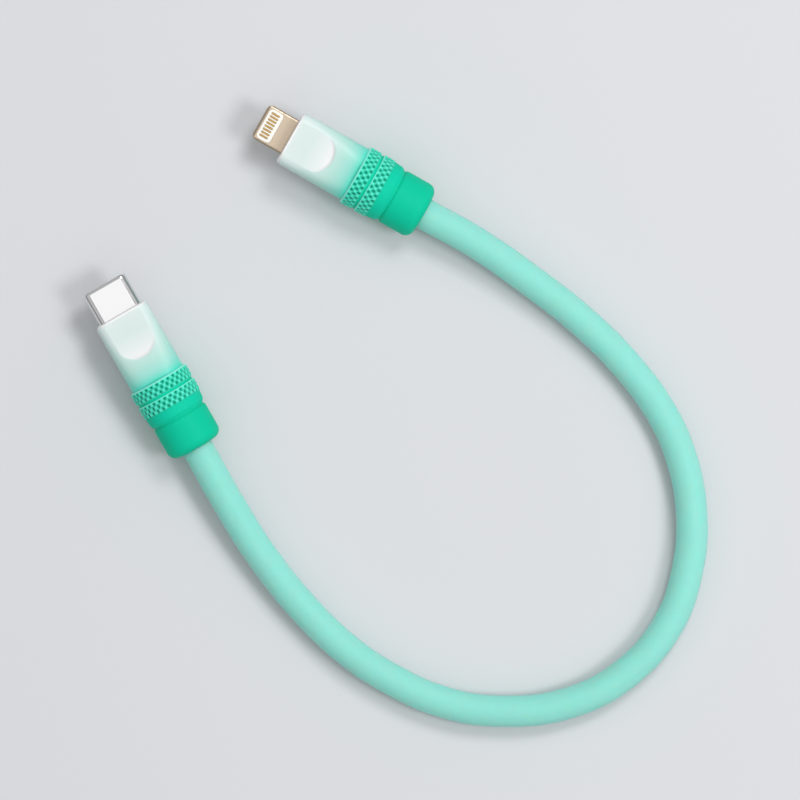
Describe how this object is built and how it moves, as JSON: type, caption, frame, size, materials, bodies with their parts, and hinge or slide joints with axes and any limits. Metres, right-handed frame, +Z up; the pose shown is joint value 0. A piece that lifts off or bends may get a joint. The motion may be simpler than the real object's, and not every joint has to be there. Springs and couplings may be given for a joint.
{
  "type": "charging cable",
  "caption": "Short thick charging cable with a USB-C plug and a slim flat plug, each in a tapered shell with thumb rests, a knurled collar and a smooth boot.",
  "frame": {"origin": "bottom centre of the box round the two plugs and their housings, without the cord, on the surface that the cable lies on", "axes": "+Z up from that surface, and +X and +Y along it: the plugs point towards -X +Y, and the cord loops round on the +X -Y side"},
  "size_m": [0.1085, 0.108, 0.0114],
  "materials": {
    "boot_rubber": "satin soft-touch green, darker and smoother than the collar",
    "collar_rubber": "satin soft-touch green with diamond knurling",
    "shell_plastic": "satin white that fades to mint green beside the collar",
    "jacket_rubber": "matte mint silicone jacket",
    "plug_steel": "bright drawn steel",
    "tab_metal": "fine champagne satin",
    "contact_gold": "gold plating",
    "spring_steel": "plain stainless spring strip",
    "can_steel": "tin-plated folded sheet",
    "insulator_plastic": "black moulded plastic",
    "carrier_plastic": "white moulded plastic",
    "mould_plastic": "natural moulded plastic",
    "board_laminate": "green solder mask",
    "chip_plastic": "black chip bodies and tinned pads",
    "braid_copper": "tinned copper braid",
    "crimp_brass": "plain brass ferrule",
    "power_insulation": "red insulation",
    "ground_insulation": "black insulation",
    "data_plus_insulation": "green insulation",
    "data_minus_insulation": "white insulation",
    "sense_insulation": "blue insulation",
    "yarn": "aramid strength yarn"
  },
  "bodies": {
    "root": {"cord_jacket": "jacket_rubber", "cord_braid": "braid_copper", "power_wire": "power_insulation", "ground_wire": "ground_insulation", "data_plus_wire": "data_plus_insulation", "data_minus_wire": "data_minus_insulation", "sense_wire": "sense_insulation", "strength_yarn": "yarn", "usb_c_boot": "boot_rubber", "usb_c_collar": "collar_rubber", "usb_c_front_shell": "shell_plastic", "usb_c_inner_mould": "mould_plastic", "usb_c_crimp": "crimp_brass", "usb_c_upper_can": "can_steel", "usb_c_lower_can": "can_steel", "usb_c_board": "board_laminate", "usb_c_board_parts": "chip_plastic", "usb_c_plug_shell": "plug_steel", "usb_c_insulator": "insulator_plastic", "usb_c_upper_contacts": "contact_gold", "usb_c_lower_contacts": "contact_gold", "usb_c_latch_spring": "spring_steel", "usb_c_ground_springs": "spring_steel", "pin_plug_boot": "boot_rubber", "pin_plug_collar": "collar_rubber", "pin_plug_front_shell": "shell_plastic", "pin_plug_inner_mould": "mould_plastic", "pin_plug_crimp": "crimp_brass", "pin_plug_upper_can": "can_steel", "pin_plug_lower_can": "can_steel", "pin_plug_board": "board_laminate", "pin_plug_board_parts": "chip_plastic", "pin_plug_tab": "tab_metal", "pin_plug_contact_carrier": "carrier_plastic", "pin_plug_upper_contacts": "contact_gold", "pin_plug_lower_contacts": "contact_gold"}
  },
  "joints": []
}
